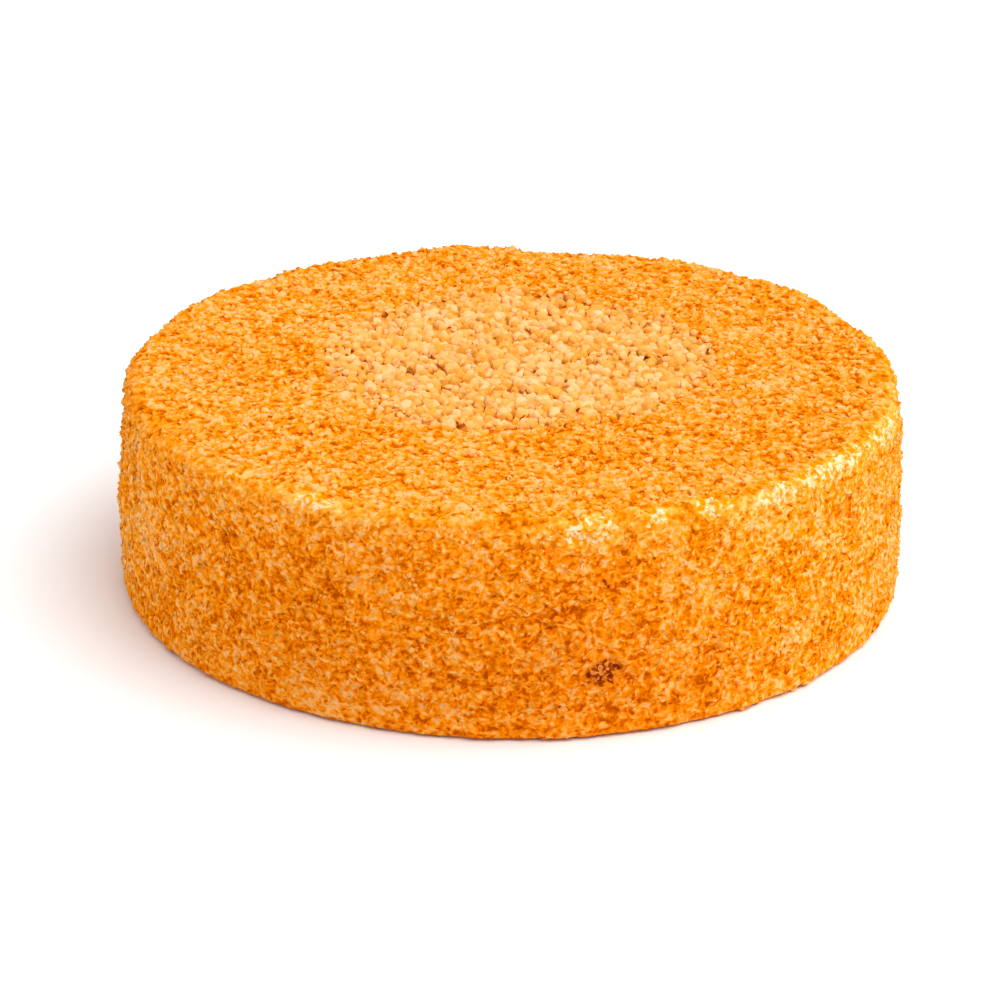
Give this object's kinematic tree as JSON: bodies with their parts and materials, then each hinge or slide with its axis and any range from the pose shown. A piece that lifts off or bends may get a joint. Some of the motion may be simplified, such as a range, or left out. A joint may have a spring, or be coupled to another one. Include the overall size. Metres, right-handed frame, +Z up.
{
  "type": "medovik honey cake",
  "caption": "Whole round honey cake, low and straight-sided, coated all over in fine biscuit crumbs, with a round bed of chopped nuts set in its top.",
  "frame": {"origin": "middle of the flat underside, on the surface that the cake stands on", "axes": "+Z up through the middle of the cake; -Y towards the viewer; the nut bed lies a little towards +Y"},
  "size_m": [0.204, 0.2042, 0.0578],
  "materials": {
    "crumb_coat": "dry, rough golden-orange honey-biscuit crumbs over pale cream",
    "chopped_nuts": "pale roasted chopped nuts, matte with a faint oily sheen"
  },
  "bodies": {
    "root": {"honey_cake": "crumb_coat", "chopped_nuts": "chopped_nuts"}
  },
  "joints": []
}
